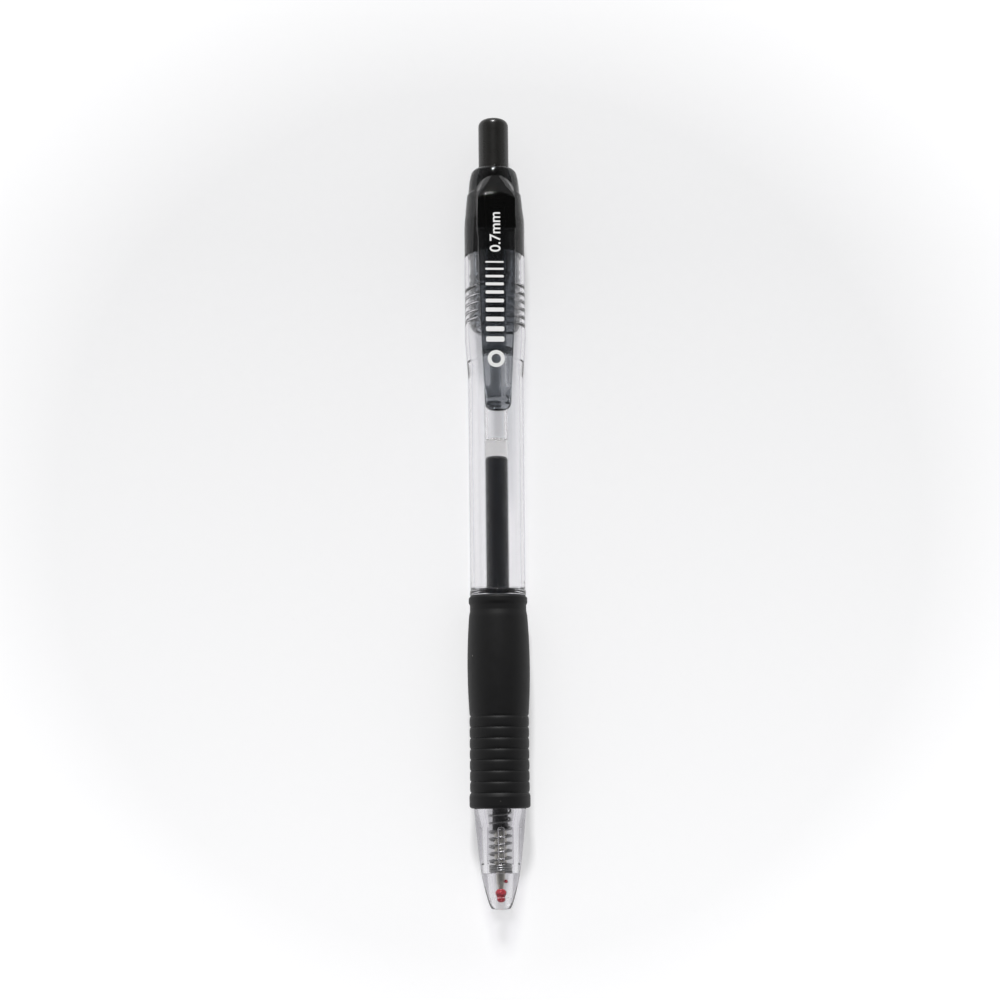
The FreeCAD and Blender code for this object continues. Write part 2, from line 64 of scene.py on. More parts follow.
EVEN_TURN = np.linspace(0, FULL_TURN, SEGMENTS, endpoint=False)
# TURN holds the directions round the axis, from the top and towards +X. They lie closer together near
# the top, where the clip's block and the hood need finer steps.
TOP_CROWDING = 0.45
TURN = EVEN_TURN - TOP_CROWDING * np.sin(EVEN_TURN)
NOSE_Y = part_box("barrel")[0].y
AXIS_Z = (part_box("push_button")[0].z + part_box("push_button")[1].z) / 2


def span(node):
    """Where a CAD node starts and ends along the pen, and half its width, in millimetres."""
    low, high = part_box(node)
    return (low.y - NOSE_Y) / MM, (high.y - NOSE_Y) / MM, (high.x - low.x) / 2 / MM


def to_frame(points):
    """Points (across, along, height) in millimetres as points of the row frame in metres."""
    return np.asarray(points, float) * MM + np.array((0.0, NOSE_Y, AXIS_Z))


def place(across, along, height):
    return Vector(to_frame((across, along, height)))


# ---------------------------------------------------------------- outlines and surfaces


def bow(start, end, rise, steps=14):
    """Corners of a shallow arc from start to end that rises by rise in its middle."""
    start, end = np.array(start, float), np.array(end, float)
    chord = end - start
    side = np.array((-chord[1], chord[0])) / np.linalg.norm(chord)
    share = np.linspace(0, 1, steps)[:, None]
    curve = start + chord * share + side * rise * 4 * share * (1 - share)
    return [(a, r, 0) for a, r in curve]


def rounded(corners, looped=True, steps=5, support=0.2):
    """An outline through (along, radius, rounding) corners, with a point beside each bend.

    The added points keep the shading of the long stretches even.
    """
    count = len(corners)
    points = []
    for index, (along, radius, rounding) in enumerate(corners):
        here = np.array((along, radius), float)
        if rounding == 0 or (not looped and index in (0, count - 1)):
            points.append(here)
            continue
        back = np.array(corners[index - 1][:2]) - here
        ahead = np.array(corners[(index + 1) % count][:2]) - here
        reach = 0.45 * min(np.linalg.norm(back), np.linalg.norm(ahead))
        back /= np.linalg.norm(back)
        ahead /= np.linalg.norm(ahead)
        half = math.acos(max(-1.0, min(1.0, float(back @ ahead)))) / 2
        cut = min(rounding / math.tan(half), reach)
        middle = back + ahead
        centre = here + middle / np.linalg.norm(middle) * cut / math.cos(half)
        first, last = here + back * cut - centre, here + ahead * cut - centre
        opening = math.pi - 2 * half
        for share in np.linspace(0, 1, steps):
            part = (math.sin((1 - share) * opening) * first + math.sin(share * opening) * last)
            points.append(centre + part / math.sin(opening))
    outline = []
    for index, point in enumerate(points):
        outline.append(point)
        if index + 1 == len(points) and not looped:
            break
        step = points[(index + 1) % len(points)] - point
        length = np.linalg.norm(step)
        if length > 4 * support:
            outline += [point + step * support / length, point + step * (1 - support / length)]
    return np.array(outline)


def rings(outline):
    """The along and radius of every point of an outline turned about the axis."""
    return np.repeat(outline[:, :1], SEGMENTS, 1), np.repeat(outline[:, 1:2], SEGMENTS, 1)


def even_rings(low, high, count):
    """The along of every point of count rings spread evenly from low to high."""
    return np.linspace(low, high, count)[:, None] + np.zeros(SEGMENTS)


def stack(*parts):
    """Joins several (along, radius) blocks of rings into one."""
    return np.vstack([part[0] for part in parts]), np.vstack([part[1] for part in parts])


def new_object(name, points, faces, sharp_degrees=35):
    mesh = bpy.data.meshes.new(name)
    mesh.from_pydata([tuple(point) for point in to_frame(points)], [], faces)
    mesh.validate()
    shell = bmesh.new()
    shell.from_mesh(mesh)
    bmesh.ops.recalc_face_normals(shell, faces=shell.faces)
    shell.to_mesh(mesh)
    shell.free()
    obj = bpy.data.objects.new(name, mesh)
    bpy.context.scene.collection.objects.link(obj)
    mesh.shade_smooth()
    mesh.set_sharp_from_angle(angle=math.radians(sharp_degrees))
    return obj


def skin(name, rows, looped_rows, sharp_degrees=35):
    """A closed skin over rows of points. Each row closes on itself, and the stack closes or gets caps."""
    rows = np.asarray(rows, float)
    count, sides = rows.shape[:2]
    faces = []
    for i in range(count if looped_rows else count - 1):
        here, there = i * sides, ((i + 1) % count) * sides
        for j in range(sides):
            k = (j + 1) % sides
            faces.append((here + j, here + k, there + k, there + j))
    points = rows.reshape(-1, 3)
    if not looped_rows:
        centres = [rows[0].mean(0), rows[-1].mean(0)]
        points = np.vstack([points, centres])
        first, last, end = count * sides, count * sides + 1, (count - 1) * sides
        for j in range(sides):
            k = (j + 1) % sides
            faces.append((first, k, j))
            faces.append((last, end + j, end + k))
    return new_object(name, points, faces, sharp_degrees)


def turned(name, along, radius, looped=True, sharp_degrees=35):
    """A skin turned about the pen's axis, from rings of along and radius."""
    rows = np.stack([radius * np.sin(TURN), along, radius * np.cos(TURN)], -1)
    return skin(name, rows, looped, sharp_degrees)


def turned_outline(name, corners, looped=True, sharp_degrees=35):
    return turned(name, *rings(rounded(corners, looped)), looped, sharp_degrees)


def smooth_step(value):
    value = np.clip(value, 0, 1)
    return value * value * (3 - 2 * value)


def soft_min(one, other, reach):
    """The smaller of two values, with a rounded change from one to the other."""
    share = np.clip(0.5 + 0.5 * (other - one) / reach, 0, 1)
    return other * (1 - share) + one * share - reach * share * (1 - share)


def soft_max(one, other, reach):
    return -soft_min(-one, -other, reach)


def ribs(turn, count, half_width, radius, offset=0.0, edge=0.15):
    """1 on each of count lengthwise ribs round the axis, and 0 between them."""
    step = FULL_TURN / count
    nearest = np.abs((turn - offset + step / 2) % step - step / 2) * radius
    return smooth_step((half_width + edge / 2 - nearest) / edge)


# ---------------------------------------------------------------- materials


def new_material(name):
    material = bpy.data.materials.new(name)
    material.use_nodes = True
    material.node_tree.nodes.clear()
    return material, material.node_tree


def add_node(tree, kind, **values):
    """A new node; each value is a socket's number or colour, or another node's output to link to it."""
    node = tree.nodes.new(kind)
    for key, value in values.items():
        socket = node.inputs.get(key.replace("_", " "))
        if isinstance(value, bpy.types.NodeSocket):
            tree.links.new(value, socket)
        elif socket is not None:
            socket.default_value = value
        else:
            setattr(node, key, value)
    return node


def grain(tree, grain_size, detail=3.0, stretch=(1, 1, 1)):
    """Noise whose grains are about grain_size metres, stretched along any of the axes."""
    spot = add_node(tree, "ShaderNodeTexCoord").outputs["Object"]
    mapped = add_node(tree, "ShaderNodeMapping", Vector=spot, Scale=stretch).outputs[0]
    noise = add_node(tree, "ShaderNodeTexNoise", Vector=mapped, Scale=1 / grain_size, Detail=detail)
    return noise.outputs["Fac"]


def between(tree, factor, low, high, start=0.3, stop=0.7):
    """factor between start and stop turned into a number between low and high."""
    node = add_node(tree, "ShaderNodeMapRange", Value=factor)
    for socket, value in (("From Min", start), ("From Max", stop), ("To Min", low), ("To Max", high)):
        node.inputs[socket].default_value = value
    return node.outputs["Result"]


def mixed_colour(tree, factor, one, other):
    node = add_node(tree, "ShaderNodeMix", data_type="RGBA")
    tree.links.new(factor, node.inputs[0])
    node.inputs[6].default_value = (*one, 1)
    node.inputs[7].default_value = (*other, 1)
    return node.outputs[2]


def bump(tree, height, depth):
    return add_node(tree, "ShaderNodeBump", Height=height, Distance=depth, Strength=1.0).outputs[0]


def maths(tree, operation, one, other):
    """The sum, product or other result of two node outputs."""
    node = add_node(tree, "ShaderNodeMath", operation=operation)
    tree.links.new(one, node.inputs[0])
    tree.links.new(other, node.inputs[1])
    return node.outputs[0]


SHADOW_SHARE = 0.99


def clear_plastic(name, ior, roughness, absorb, density, tint=(1, 1, 1), rim=None, clear=1.0):
    """Glossy see-through plastic. Lamps shine through it, and it darkens with its thickness.

    absorb and density are the colour and strength of its absorption, rim is a painted shade: a dark
    purple-grey colour painted on surfaces seen nearly edge on, and clear is the share of light that
    passes.
    """
    material, tree = new_material(name)
    fine = grain(tree, 0.0009, 4)
    shader = add_node(tree, "ShaderNodeBsdfPrincipled", IOR=ior)
    shader.inputs["Base Color"].default_value = (*tint, 1)
    shader.inputs["Transmission Weight"].default_value = clear
    if rim:
        # Painted shade: surfaces seen nearly edge on are darkened towards the rim colour.
        edge = add_node(tree, "ShaderNodeLayerWeight", Blend=0.5)
        painted_edge_shade_share = between(tree, edge.outputs["Facing"], 0, 1, 0.66, 0.90)
        tree.links.new(mixed_colour(tree, painted_edge_shade_share, tint, rim), shader.inputs["Base Color"])
    tree.links.new(between(tree, fine, roughness * 0.5, roughness * 1.6), shader.inputs["Roughness"])
    lamp_side = add_node(tree, "ShaderNodeBsdfTransparent")
    lamp_side.inputs["Color"].default_value = (*[SHADOW_SHARE * value for value in tint], 1)
    path = add_node(tree, "ShaderNodeLightPath")
    mix = add_node(tree, "ShaderNodeMixShader")
    tree.links.new(path.outputs["Is Shadow Ray"], mix.inputs[0])
    tree.links.new(shader.outputs[0], mix.inputs[1])
    tree.links.new(lamp_side.outputs[0], mix.inputs[2])
    inside = add_node(tree, "ShaderNodeVolumeAbsorption", Density=density)
    inside.inputs["Color"].default_value = (*absorb, 1)
    output = add_node(tree, "ShaderNodeOutputMaterial")
    tree.links.new(mix.outputs[0], output.inputs["Surface"])
    tree.links.new(inside.outputs[0], output.inputs["Volume"])
    return material


def solid_material(name, colours, roughness, grain_size=0.0002, depth=4e-6, stretch=(1, 1, 1), **sockets):
    """An opaque finish: two close colours, a range of roughness and a fine bump, all from noise."""
    material, tree = new_material(name)
    fine = grain(tree, grain_size, 4, stretch)
    broad = grain(tree, grain_size * 14, 3)
    shader = add_node(tree, "ShaderNodeBsdfPrincipled")
    tree.links.new(mixed_colour(tree, broad, *colours), shader.inputs["Base Color"])
    tree.links.new(between(tree, broad, *roughness), shader.inputs["Roughness"])
    tree.links.new(bump(tree, fine, depth), shader.inputs["Normal"])
    for socket, value in sockets.items():
        shader.inputs[socket.replace("_", " ")].default_value = value
    output = add_node(tree, "ShaderNodeOutputMaterial")
    tree.links.new(shader.outputs[0], output.inputs["Surface"])
    return material


def rubber_material():
    """Matt black rubber with a fine grain and a few specks of pale dust."""
    material = solid_material(
        "grip_rubber", ((0.0055, 0.0055, 0.0058), (0.008, 0.008, 0.0085)), (0.52, 0.58),
        grain_size=0.00012, depth=7e-6, IOR=1.36)
    tree = material.node_tree
    shader = next(node for node in tree.nodes if node.type == "BSDF_PRINCIPLED")
    own_colour = shader.inputs["Base Color"].links[0].from_socket
    coordinates = add_node(tree, "ShaderNodeTexCoord")
    cells = add_node(tree, "ShaderNodeTexVoronoi", Vector=coordinates.outputs["Object"], Scale=420.0)
    near = between(tree, cells.outputs["Distance"], 1, 0, 0.035, 0.06)
    chosen = add_node(tree, "ShaderNodeSeparateColor", Color=cells.outputs["Color"])
    few = between(tree, chosen.outputs[0], 0, 1, 0.90, 0.91)
    dust = add_node(tree, "ShaderNodeMix", data_type="RGBA")
    tree.links.new(maths(tree, "MULTIPLY", near, few), dust.inputs[0])
    tree.links.new(own_colour, dust.inputs[6])
    dust.inputs[7].default_value = (0.22, 0.21, 0.20, 1)
    tree.links.new(dust.outputs[2], shader.inputs["Base Color"])
    return material


SMOKE = (0.0, 0.05, 0.11)
SMOKE_TINT = (0.96, 0.965, 0.975)
NATURAL = (0.3, 0.2, 0.0)

MATERIALS = {
    # The barrel's rim colour is a painted shade on its edges seen edge on.
    "clear_plastic": clear_plastic(
        "clear_plastic", 1.57, 0.004, (0.30, 0.27, 0.36), 105.0, rim=(0.28, 0.26, 0.40)),
    "smoked_plastic": clear_plastic("smoked_plastic", 1.42, 0.05, SMOKE, 1500.0, SMOKE_TINT),
    "smoked_insert": clear_plastic("smoked_insert", 1.48, 0.02, SMOKE, 430.0, SMOKE_TINT),
    "smoked_rotor": clear_plastic("smoked_rotor", 1.50, 0.08, (0.0, 0.05, 0.08), 420.0, (0.9, 0.9, 0.91)),
    "smoked_clip": clear_plastic("smoked_clip", 1.46, 0.03, SMOKE, 340.0, SMOKE_TINT),
    "refill_plastic": clear_plastic("refill_plastic", 1.26, 0.02, NATURAL, 4.0),
    "follower_grease": clear_plastic(
        "follower_grease", 1.26, 0.03, (0.9, 0.6, 0.0), 8.0, (1.0, 0.99, 0.975), clear=0.97),
    "grip_rubber": rubber_material(),
    "black_plastic": solid_material(
        "black_plastic", ((0.0095, 0.009, 0.008), (0.0125, 0.012, 0.0108)), (0.26, 0.30),
        grain_size=0.0001, depth=1.5e-6),
    "holder_plastic": solid_material(
        "holder_plastic", ((0.02, 0.02, 0.023), (0.028, 0.028, 0.031)), (0.25, 0.4),
        grain_size=0.0002, depth=3e-6),
    "black_ink": solid_material(
        "black_ink", ((0.0015, 0.002, 0.0035), (0.003, 0.004, 0.006)), (0.12, 0.22),
        grain_size=0.0006, depth=3e-6, stretch=(1, 0.2, 1)),
    "tip_metal": solid_material(
        "tip_metal", ((0.62, 0.60, 0.55), (0.70, 0.68, 0.63)), (0.34, 0.44),
        grain_size=0.00004, depth=1.5e-6, stretch=(1, 8, 1), Metallic=1.0),
    "ball_metal": solid_material(
        "ball_metal", ((0.50, 0.51, 0.53), (0.58, 0.59, 0.60)), (0.12, 0.22),
        grain_size=0.00006, depth=1e-6, Metallic=1.0),
    "spring_steel": solid_material(
        "spring_steel", ((0.30, 0.30, 0.30), (0.40, 0.40, 0.40)), (0.30, 0.42),
        grain_size=0.00006, depth=1.5e-6, Metallic=1.0),
    "red_wax": solid_material(
        "red_wax", ((0.38, 0.020, 0.036), (0.48, 0.032, 0.052)), (0.34, 0.5),
        grain_size=0.0003, depth=2e-5, Subsurface_Weight=0.35, Subsurface_Scale=0.0004),
    "white_print": solid_material(
        "white_print", ((0.94, 0.94, 0.93), (0.98, 0.98, 0.97)), (0.45, 0.6),
        grain_size=0.0001, depth=3e-6),
}


def dress(obj, slot, nodes=(), body=None, finish=None):
    """Gives a piece its material, named by finish or else by slot, its body, and hides the CAD nodes that
    it stands for.
    """
    obj.data.materials.clear()
    obj.data.materials.append(MATERIALS[finish or slot])
    if nodes:
        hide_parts(*nodes)
    if body:
        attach(obj, body)
    return obj


# ---------------------------------------------------------------- screw thread

THREAD_PITCH = 1.46
THREAD_FRONT_FLANK = 0.48
THREAD_REAR_FLANK = 0.07
RINGS_PER_PITCH = 30


def thread(along, start, turns):
    """Share of a right-handed buttress thread's height: 1 on its crest, 0 on its root.

    The flank towards the nose is long and the one towards the rear is short, as shares of the pitch.
    """
    phase = (along - start) / THREAD_PITCH - TURN / FULL_TURN
    whole = np.round(phase)
    past_crest = phase - whole
    front = smooth_step(1 + past_crest / THREAD_FRONT_FLANK)
    rear = smooth_step(1 - past_crest / THREAD_REAR_FLANK)
    ridge = np.where(past_crest > 0, rear, front)
    travelled = whole + TURN / FULL_TURN
    run_in = smooth_step((travelled + 0.05) / 0.25)
    run_out = smooth_step((turns - travelled) / 0.25)
    return ridge * run_in * run_out


def threaded_rings(low, high, root, crest, start, turns):
    """Rings from low to high that carry a thread between the radii root and crest."""
    count = int(abs(high - low) / THREAD_PITCH * RINGS_PER_PITCH)
    along = even_rings(low, high, count)
    return along, root + (crest - root) * thread(along, start, turns)


# ---------------------------------------------------------------- barrel

MOUTH = span("barrel")[1]
MOUTH_RADIUS = span("barrel")[2]
GRIP_FRONT, GRIP_REAR = span("grip_sleeve")[:2]
NECK_RADIUS = 4.23
SOCKET_RADIUS = 4.94
SOCKET_CREST = 4.78
SOCKET_THREAD_START, SOCKET_THREAD_TURNS = 104.6, 5.4
FLARE_END = 102.1
CHAMBER_RADIUS = 2.38
CHAMBER_RIB_HEIGHT = 0.25


def barrel_outside():
    """Nose, cone, neck under the grip, shoulder, tube and mouth."""
    return rings(rounded([
        (0.0, 1.2, 0.12),
        (0.0, 1.68, 0.45),
        (0.55, 1.98, 0.2),
        *bow((1.0, 2.15), (8.5, 3.73), 0.2),
        *bow((8.5, 3.73), (GRIP_FRONT - 0.12, 4.62), 0.05)[1:],
        (GRIP_FRONT, 4.6, 0.05),
        (GRIP_FRONT, NECK_RADIUS, 0),
        (GRIP_REAR, NECK_RADIUS, 0),
        (GRIP_REAR + 0.02, 5.07, 0.15),
        (GRIP_REAR + 0.9, 5.07, 0.15),
        (GRIP_REAR + 1.0, 4.95, 0.1),
        (95.0, 5.05, 4.0),
        (FLARE_END, MOUTH_RADIUS, 4.0),
        (MOUTH, MOUTH_RADIUS, 0.12),
        (MOUTH, SOCKET_RADIUS, 0.1),
        (MOUTH - 0.5, SOCKET_RADIUS, 0),
    ], looped=False))


def barrel_bore():
    """From the socket down to the spring chamber."""
    return rings(rounded([
        (FLARE_END + 0.5, SOCKET_RADIUS, 0),
        (FLARE_END, SOCKET_RADIUS, 0.3),
        (98.15, 4.65, 0.15),
        (97.75, 4.45, 0.15),
        (58.0, 4.36, 0),
        *bow((57.5, 4.35), (54.7, 3.3), -0.42, 14),
        (18.0, 3.15, 2.0),
        (14.6, 2.42, 0.6),
        (14.2, CHAMBER_RADIUS, 0),
    ], looped=False))


def spring_chamber():
    """Four lengthwise ribs keep the spring centred."""
    along = even_rings(14.1, 6.5, 60)
    rib = ribs(TURN, 4, 0.42, CHAMBER_RADIUS) * smooth_step((along - 7.8) / 0.3)
    return along, CHAMBER_RADIUS - CHAMBER_RIB_HEIGHT * rib


def nose_bore():
    """The seat of the spring and the orifice for the tip."""
    return rings(rounded([
        (6.4, CHAMBER_RADIUS, 0),
        (6.3, CHAMBER_RADIUS, 0.05),
        (6.3, 1.63, 0.08),
        (2.15, 1.4, 0.05),
        (2.15, 1.2, 0.08),
        (0.3, 1.2, 0),
    ], looped=False))


def make_barrel():
    """Clear barrel with its nose cone, spring chamber, bore and threaded socket."""
    socket = threaded_rings(
        MOUTH - 0.6, FLARE_END + 0.6, SOCKET_RADIUS, SOCKET_CREST,
        SOCKET_THREAD_START, SOCKET_THREAD_TURNS)
    along, radius = stack(barrel_outside(), socket, barrel_bore(), spring_chamber(), nose_bore())
    dress(turned("barrel_shell", along, radius), "clear_plastic", ["barrel"], "casing")


# ---------------------------------------------------------------- grip

RIB_COUNT = 7
RIB_PITCH = 1.91
FIRST_GROOVE = 20.15


def rib_stretch():
    """The eight grooves: between neighbours the rubber bulges in a flat round crest."""
    valley, crest = 5.08, 5.29
    points = [(GRIP_FRONT + 2.1, 5.40, 0.2), (FIRST_GROOVE - 0.3, 5.30, 0.1), (FIRST_GROOVE, valley, 0.06)]
    for rib in range(RIB_COUNT):
        start = FIRST_GROOVE + rib * RIB_PITCH
        for share in np.linspace(0, 1, 15)[1:-1]:
            rise = (1 - abs(2 * share - 1) ** 3.2) ** 0.55
            points.append((start + share * RIB_PITCH, valley + (crest - valley) * rise, 0))
        points.append((start + RIB_PITCH, valley, 0.06))
    return points


def make_grip():
    """Rubber sleeve: rounded rim, ribs, a long swell, a waist and a bead."""
    swell_start = FIRST_GROOVE + RIB_COUNT * RIB_PITCH
    corners = [
        (GRIP_FRONT, NECK_RADIUS + 0.02, 0),
        (GRIP_FRONT, 5.40, 0.75),
        *rib_stretch(),
        (swell_start + 0.35, 5.27, 0.2),
        *bow((swell_start + 0.8, 5.30), (51.4, 5.235), 0.31, 30),
        (52.3, 5.06, 0.6),
        (53.3, 5.06, 0.35),
        (53.75, 5.27, 0.3),
        (54.6, 5.27, 0.3),
        (GRIP_REAR, 4.9, 0.12),
        (GRIP_REAR, NECK_RADIUS + 0.02, 0),
    ]
    sleeve = turned_outline("grip_rubber_sleeve", corners, sharp_degrees=50)
    dress(sleeve, "grip_rubber", ["grip_sleeve"], "casing")


# ---------------------------------------------------------------- collar

INSERT_END = span("clip_collar")[0]
COLLAR_TOP = span("clip_collar")[1]
COLLAR_FOOT = MOUTH + 0.04
INSERT_RADIUS = 4.54
INSERT_CREST = 4.74
INSERT_THREAD_START, INSERT_THREAD_TURNS = 104.2, 7.4
GUIDE_BORE = 3.45
RIB_BORE = 2.87
ARCH_TOP, ARCH_HEIGHT, ARCH_SLOPE = 132.6, 4.95, 0.46
HOOD_LIFT = 0.85
BLOCK_FRONT = 121.2
BLOCK_REAR = 132.3
BLOCK_HALF = 3.45
BLOCK_EDGE = 0.3
CLIP_TOP = (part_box("clip")[1].z - AXIS_Z) / MM
# The clip's flat top ends in a curved edge, the shoulder, and a ramp falls from there to the hood's arch.
SHOULDER_APEX, SHOULDER_DROP, SHOULDER_BEND, SHOULDER_HALF = 127.65, 1.05, 0.25, 3.5
# Corners (along, radius) of the collar's side, and of the part behind the hood with its small step.
SKIRT = np.array([(COLLAR_FOOT, 5.57), (124.5, 5.5), (128.4, 5.16), (132.4, 4.66), (133.4, 4.55)])
REAR_SKIRT = np.array([
    (COLLAR_FOOT, 5.57), (124.5, 5.5), (128.4, 5.16), (129.6, 5.03), (129.66, 5.0), (129.84, 4.85),
    (129.9, 4.82), (132.2, 4.59), (132.8, 4.50), (133.4, 4.36)])


def hood_radius(along):
    """Radius of the collar's front, with its lifted hood and the block that the clip grows from."""
    cosine, sine = np.cos(TURN), np.abs(np.sin(TURN))
    lift = HOOD_LIFT * (0.12 + 0.88 * np.clip(cosine, 0, 1) ** 2) * smooth_step((cosine + 0.2) / 0.3)
    base = np.interp(along, *SKIRT.T) + lift * smooth_step((along - COLLAR_FOOT - 0.8) / 6.0)
    from_top = np.abs((TURN + math.pi) % FULL_TURN - math.pi)
    across = np.minimum(CLIP_TOP * np.tan(np.minimum(from_top, 0.6)), SHOULDER_HALF)
    past = np.clip(along - SHOULDER_APEX + SHOULDER_DROP * (across / SHOULDER_HALF) ** 2, 0, None)
    wall = BLOCK_HALF / np.maximum(sine, 1e-3)
    block = soft_min(np.minimum(wall, 20.0), CLIP_TOP / np.maximum(cosine, 0.2), BLOCK_EDGE)
    ramp_length = BLOCK_REAR - SHOULDER_APEX - SHOULDER_BEND
    merge = np.clip((np.hypot(past, SHOULDER_BEND) - SHOULDER_BEND) / ramp_length, 0, 1)
    block = block * (1 - merge) + base * merge
    shown = (along >= BLOCK_FRONT) & (cosine > 0.6)
    return np.where(shown, soft_max(base, block, 0.12), base)


def arch_line():
    """Where the hood's slanted edge lies, for each direction round the axis."""
    radius = np.full(SEGMENTS, 5.3)
    for _ in range(12):
        along = ARCH_TOP - (ARCH_HEIGHT - radius * np.cos(TURN)) / ARCH_SLOPE
        along = np.clip(along, BLOCK_FRONT + 1.4, ARCH_TOP)
        radius = np.interp(along, *SKIRT.T)
    return along


def hood_rings(arch):
    """The collar's front up to the arch, the rounded edge of the hood and the groove at its foot."""
    share = np.linspace(0, 1, 90)[:, None]
    hood = BLOCK_FRONT + share * (arch - 0.22 - BLOCK_FRONT)
    offsets = np.array([-0.20, -0.17, -0.13, -0.07, 0.0, 0.07, 0.13, 0.18, 0.24, 0.31, 0.38])[:, None]
    edge = arch + offsets
    fall = smooth_step((edge - arch + 0.19) / 0.34)
    groove = 0.14 * smooth_step(1 - np.abs(edge - arch - 0.2) / 0.15)
    edge_radius = hood_radius(edge) * (1 - fall) + np.interp(edge, *REAR_SKIRT.T) * fall - groove
    return stack((hood, hood_radius(hood)), (edge, edge_radius))


def rear_rings(arch):
    """The collar's side behind the hood. Rings that would lie under the hood are gathered at its edge."""
    step_rows = (129.6, 129.66, 129.72, 129.78, 129.84, 129.9)
    along = np.concatenate([np.linspace(122.9, 129.5, 18), step_rows, np.linspace(130.2, 133.1, 10)])
    gathered = arch + 0.42 + 0.004 * np.arange(1, len(along) + 1)[:, None]
    rear = np.maximum(along[:, None], gathered)
    return rear, np.interp(rear, *REAR_SKIRT.T)


def guided_bore(bore, rib_share):
    """A bore with four guide ribs, whose height is rib_share of the full one."""
    guides = ribs(TURN, 4, 1.3, 3.1) * rib_share
    return bore, GUIDE_BORE - (GUIDE_BORE - RIB_BORE) * guides


def make_collar():
    """Smoked collar: skirt, hood with its arch, dome, and guide ribs inside."""
    foot = rings(rounded([
        (COLLAR_FOOT, GUIDE_BORE, 0),
        (COLLAR_FOOT, 5.57, 0.12),
        (COLLAR_FOOT + 0.3, 5.57, 0),
    ], looped=False))
    flat = even_rings(COLLAR_FOOT + 0.4, BLOCK_FRONT - 0.01, 9)
    arch = arch_line()
    dome = rings(rounded([
        (133.42, 4.35, 0),
        *bow((133.45, 4.33), (COLLAR_TOP - 0.05, 3.25), 0.28, 10)[1:],
        (COLLAR_TOP, 3.1, 0.05),
        (COLLAR_TOP, RIB_BORE, 0.08),
        (131.6, RIB_BORE, 0),
    ], looped=False))
    bore = even_rings(131.55, COLLAR_FOOT + 0.02, 40)
    along, radius = stack(foot, (flat, hood_radius(flat)), hood_rings(arch), rear_rings(arch), dome,
                          guided_bore(bore, np.ones(bore.shape)))
    dress(turned("collar_cap", along, radius), "smoked_plastic", ["clip_collar"], "casing")


def make_insert():
    """The collar's threaded insert, inside the barrel's socket."""
    nose = rings(rounded([
        (INSERT_END, GUIDE_BORE, 0.1),
        (INSERT_END, 4.15, 0.15),
        (INSERT_END + 0.5, INSERT_RADIUS, 0.15),
        (INSERT_END + 1.0, INSERT_RADIUS, 0),
    ], looped=False))
    threads = threaded_rings(
        INSERT_END + 1.1, MOUTH - 1.2, INSERT_RADIUS, INSERT_CREST,
        INSERT_THREAD_START, INSERT_THREAD_TURNS)
    end = rings(np.array([(COLLAR_FOOT - 0.01, INSERT_RADIUS)]))
    bore = even_rings(COLLAR_FOOT - 0.01, INSERT_END + 0.4, 40)
    along, radius = stack(nose, threads, end, guided_bore(bore, smooth_step((bore - 107.6) / 0.8)))
    insert = turned("collar_insert", along, radius)
    dress(insert, "smoked_plastic", body="casing", finish="smoked_insert")


# ---------------------------------------------------------------- clip

CLIP_END = span("clip")[0]
CLIP_THICK = 1.7
CLIP_BEND = 98.8
CLIP_ROUNDING = 0.32
PAD_MIDDLE, PAD_HALF_LENGTH, PAD_HEIGHT = 90.4, 1.55, 0.6
# The corners of a rounded rectangle, in order: its sides' signs, and where its arc starts in degrees.
CORNERS = ((1, 1, 0), (-1, 1, 90), (-1, -1, 180), (1, -1, 270))


def clip_half_width(along):
    """Half the clip's width: a long taper, then a tongue-shaped end."""
    straight = np.interp(along, (CLIP_END, 103.0, BLOCK_FRONT), (2.28, 3.05, 3.45))
    end = np.clip((along - CLIP_END) / 1.5, 0, 1)
    return straight * (1 - (1 - end) ** 2.6) ** (1 / 2.6)


def clip_top(along):
    """Height of the clip's top face, which slopes down to the tongue-shaped end."""
    return np.interp(along, (CLIP_END, CLIP_BEND), (7.6, CLIP_TOP))


def clip_section(along):
    """One section of the clip: a rectangle with rounded long edges, thicker where the pad is."""
    corner_steps = 6
    half = float(clip_half_width(along))
    end = min(max((along - CLIP_END) / 0.75, 0.0), 1.0)
    pinch = max((1 - (1 - end) ** 2.4) ** (1 / 2.4), 0.02)
    bottom = float(np.interp(along, (CLIP_END, 95.0), (6.0, CLIP_TOP - CLIP_THICK)))
    pad = math.exp(-((along - PAD_MIDDLE) / PAD_HALF_LENGTH) ** 4)
    middle = bottom + 0.6
    top_now = middle + (float(clip_top(along)) - middle) * pinch
    bottom_now = middle - (middle - bottom) * pinch
    height = top_now - bottom_now
    rounding = min(CLIP_ROUNDING, 0.45 * height, 0.45 * half)

    def pad_dip(across):
        return pad * PAD_HEIGHT * pinch * smooth_step((half - abs(across)) / 0.9)

    points = []
    for side, level, start in CORNERS:
        for step in range(corner_steps):
            angle = math.radians(start + 90 * step / (corner_steps - 1))
            across = side * (half - rounding) + rounding * math.cos(angle)
            centre = top_now - rounding if level > 0 else bottom_now + rounding
            up = centre + rounding * math.sin(angle)
            if level < 0:
                up -= pad_dip(across)
            points.append((across, along, up))
        if level < 0 and side < 0:
            for share in (0.15, 0.3, 0.5, 0.7, 0.85):
                across = (half - rounding) * (2 * share - 1)
                points.append((across, along, bottom_now - pad_dip(across)))
    return points


def make_clip():
    """Smoked clip bar, from its root at the collar's block to its tongue-shaped end."""
    root = BLOCK_FRONT - 0.012
    near_end = CLIP_END + 1.6 * np.linspace(0.0, 1, 22)[1:] ** 1.8
    tip = [CLIP_END + 0.002, CLIP_END + 0.012]
    along = np.concatenate([tip, near_end[1:], np.linspace(89.4, root, 90)])
    clip = skin("clip_bar", [clip_section(value) for value in along], False, 40)
    dress(clip, "smoked_plastic", ["clip"], finish="smoked_clip")
    bend_with_clip(clip)


def bend_with_clip(obj):
    """Bakes the piece's placement into its mesh."""
    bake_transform(obj)


